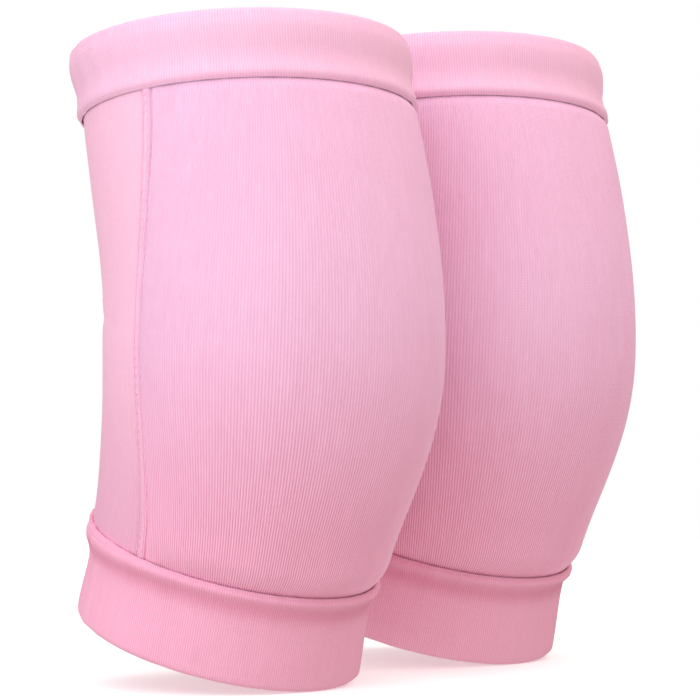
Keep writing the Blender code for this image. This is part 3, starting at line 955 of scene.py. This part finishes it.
def studio_world():
    """Soft fill that is stronger from below, as over a pale floor, and plain white behind the pads."""
    world = bpy.data.worlds.new("studio_world")
    world.use_nodes = True
    nodes, links = world.node_tree.nodes, world.node_tree.links
    fill = nodes["Background"]
    fill.inputs["Color"].default_value = (1.0, 0.935, 0.865, 1.0)
    way, split = nodes.new("ShaderNodeTexCoord"), nodes.new("ShaderNodeSeparateXYZ")
    dim = nodes.new("ShaderNodeMapRange")
    dim.inputs["From Min"].default_value = -0.25
    dim.inputs["From Max"].default_value = 0.05
    dim.inputs["To Min"].default_value = 0.78
    dim.inputs["To Max"].default_value = 0.54
    links.new(way.outputs["Generated"], split.inputs[0])
    links.new(split.outputs["Z"], dim.inputs["Value"])
    links.new(dim.outputs[0], fill.inputs["Strength"])
    seen = nodes.new("ShaderNodeBackground")
    seen.inputs["Color"].default_value = (1.0, 1.0, 1.0, 1.0)
    seen.inputs["Strength"].default_value = 1.0
    path, mix = nodes.new("ShaderNodeLightPath"), nodes.new("ShaderNodeMixShader")
    links.new(path.outputs["Is Camera Ray"], mix.inputs["Fac"])
    links.new(fill.outputs[0], mix.inputs[1])
    links.new(seen.outputs[0], mix.inputs[2])
    links.new(mix.outputs[0], nodes["World Output"].inputs["Surface"])
    bpy.context.scene.world = world


def studio_floor(colours):
    shape = bmesh.new()
    bmesh.ops.create_circle(shape, cap_ends=True, segments=96, radius=FLOOR_RADIUS)
    mesh = bpy.data.meshes.new("studio_floor")
    shape.to_mesh(mesh)
    shape.free()
    middle = Vector(np.mean(CAD_BOX, axis=0))
    for vertex in mesh.vertices:
        vertex.co += Vector((middle.x, middle.y, FLOOR_HEIGHT))
    finish = plain_material("studio_floor", colours.floor, 0.9, 3.0, 0.01 * MM, 0.02)
    glow = finish.node_tree.nodes["Principled BSDF"]
    glow.inputs["Emission Color"].default_value = (1.0, 1.0, 1.0, 1.0)
    glow.inputs["Emission Strength"].default_value = 0.30
    mesh.materials.append(finish)
    floor = bpy.data.objects.new("studio_floor", mesh)
    floor.visible_diffuse = False      # a white floor this near would light the undersides too much
    floor.visible_glossy = False
    bpy.context.scene.collection.objects.link(floor)


# ---- operators, one for each kind of piece ----

def settings(context):
    return context.scene.knee_pad_sizes, context.scene.knee_pad_colours


def make_for_both_pads(make, context):
    for prefix in PADS:
        make(prefix, *settings(context))
    return {"FINISHED"}


class KNEEPAD_OT_linings(bpy.types.Operator):
    """Make the knit lining of both pads"""
    bl_idname = "kneepad.linings"
    bl_label = "Linings"

    def execute(self, context):
        return make_for_both_pads(lining_face, context)


class KNEEPAD_OT_cushions(bpy.types.Operator):
    """Make the foam cushion of both pads"""
    bl_idname = "kneepad.cushions"
    bl_label = "Foam Cushions"

    def execute(self, context):
        return make_for_both_pads(foam_cushion, context)


class KNEEPAD_OT_fronts(bpy.types.Operator):
    """Make the rib-knit front of both pads"""
    bl_idname = "kneepad.fronts"
    bl_label = "Rib Fronts"

    def execute(self, context):
        return make_for_both_pads(front_face, context)


class KNEEPAD_OT_backs(bpy.types.Operator):
    """Make the smooth back of both pads"""
    bl_idname = "kneepad.backs"
    bl_label = "Smooth Backs"

    def execute(self, context):
        return make_for_both_pads(back_face, context)


class KNEEPAD_OT_top_cuffs(bpy.types.Operator):
    """Make the folded band at the thigh of both pads"""
    bl_idname = "kneepad.top_cuffs"
    bl_label = "Top Cuffs"

    def execute(self, context):
        return make_for_both_pads(top_cuff, context)


class KNEEPAD_OT_bottom_cuffs(bpy.types.Operator):
    """Make the folded band at the calf of both pads"""
    bl_idname = "kneepad.bottom_cuffs"
    bl_label = "Bottom Cuffs"

    def execute(self, context):
        return make_for_both_pads(bottom_cuff, context)


class KNEEPAD_OT_elastics(bpy.types.Operator):
    """Make the elastic inside every cuff"""
    bl_idname = "kneepad.elastics"
    bl_label = "Elastic Bands"

    def execute(self, context):
        colours = settings(context)[1]
        for prefix in PADS:
            elastic_band(prefix, "top", TOP_SEAM, TOP_RIM, "sleeves", colours)
            elastic_band(prefix, "bottom", BOTTOM_SEAM, BOTTOM_RIM, prefix + "calf_end", colours)
        return {"FINISHED"}


class KNEEPAD_OT_side_stitching(bpy.types.Operator):
    """Sew the side seams of both pads"""
    bl_idname = "kneepad.side_stitching"
    bl_label = "Side Stitching"

    def execute(self, context):
        return make_for_both_pads(side_seams, context)


class KNEEPAD_OT_cuff_stitching(bpy.types.Operator):
    """Sew the cuffs to the panels, inside both pads"""
    bl_idname = "kneepad.cuff_stitching"
    bl_label = "Cuff Stitching"

    def execute(self, context):
        return make_for_both_pads(cuff_seams, context)


class KNEEPAD_OT_stage(bpy.types.Operator):
    """Set up the floor, lights and camera"""
    bl_idname = "kneepad.stage"
    bl_label = "Studio"

    def execute(self, context):
        studio_floor(settings(context)[1])
        studio_world()
        for values in SOFTBOXES:
            softbox(*values)
        studio_camera()
        context.scene.view_settings.view_transform = "Standard"
        return {"FINISHED"}


STEPS = (KNEEPAD_OT_linings, KNEEPAD_OT_cushions, KNEEPAD_OT_fronts, KNEEPAD_OT_backs, KNEEPAD_OT_top_cuffs,
         KNEEPAD_OT_bottom_cuffs, KNEEPAD_OT_elastics, KNEEPAD_OT_side_stitching, KNEEPAD_OT_cuff_stitching,
         KNEEPAD_OT_stage)


class KNEEPAD_PT_sidebar(bpy.types.Panel):
    """Lists the pieces and their settings"""
    bl_label = "Knee Pads"
    bl_idname = "KNEEPAD_PT_sidebar"
    bl_space_type = "VIEW_3D"
    bl_region_type = "UI"
    bl_category = "Knee Pads"

    def draw(self, context):
        for group in settings(context):
            box = self.layout.box()
            for label in group.__annotations__:
                box.prop(group, label)
        for step in STEPS:
            self.layout.operator(step.bl_idname)


CLASSES = (KneePadSizes, KneePadColours, *STEPS, KNEEPAD_PT_sidebar)


def register():
    for item in CLASSES:
        bpy.utils.register_class(item)
    bpy.types.Scene.knee_pad_sizes = bpy.props.PointerProperty(type=KneePadSizes)
    bpy.types.Scene.knee_pad_colours = bpy.props.PointerProperty(type=KneePadColours)


def unregister():
    del bpy.types.Scene.knee_pad_colours
    del bpy.types.Scene.knee_pad_sizes
    for item in reversed(CLASSES):
        bpy.utils.unregister_class(item)


def main():
    register()
    for step in STEPS:
        family, name = step.bl_idname.split(".")
        getattr(getattr(bpy.ops, family), name)()


if __name__ == "__main__":
    main()
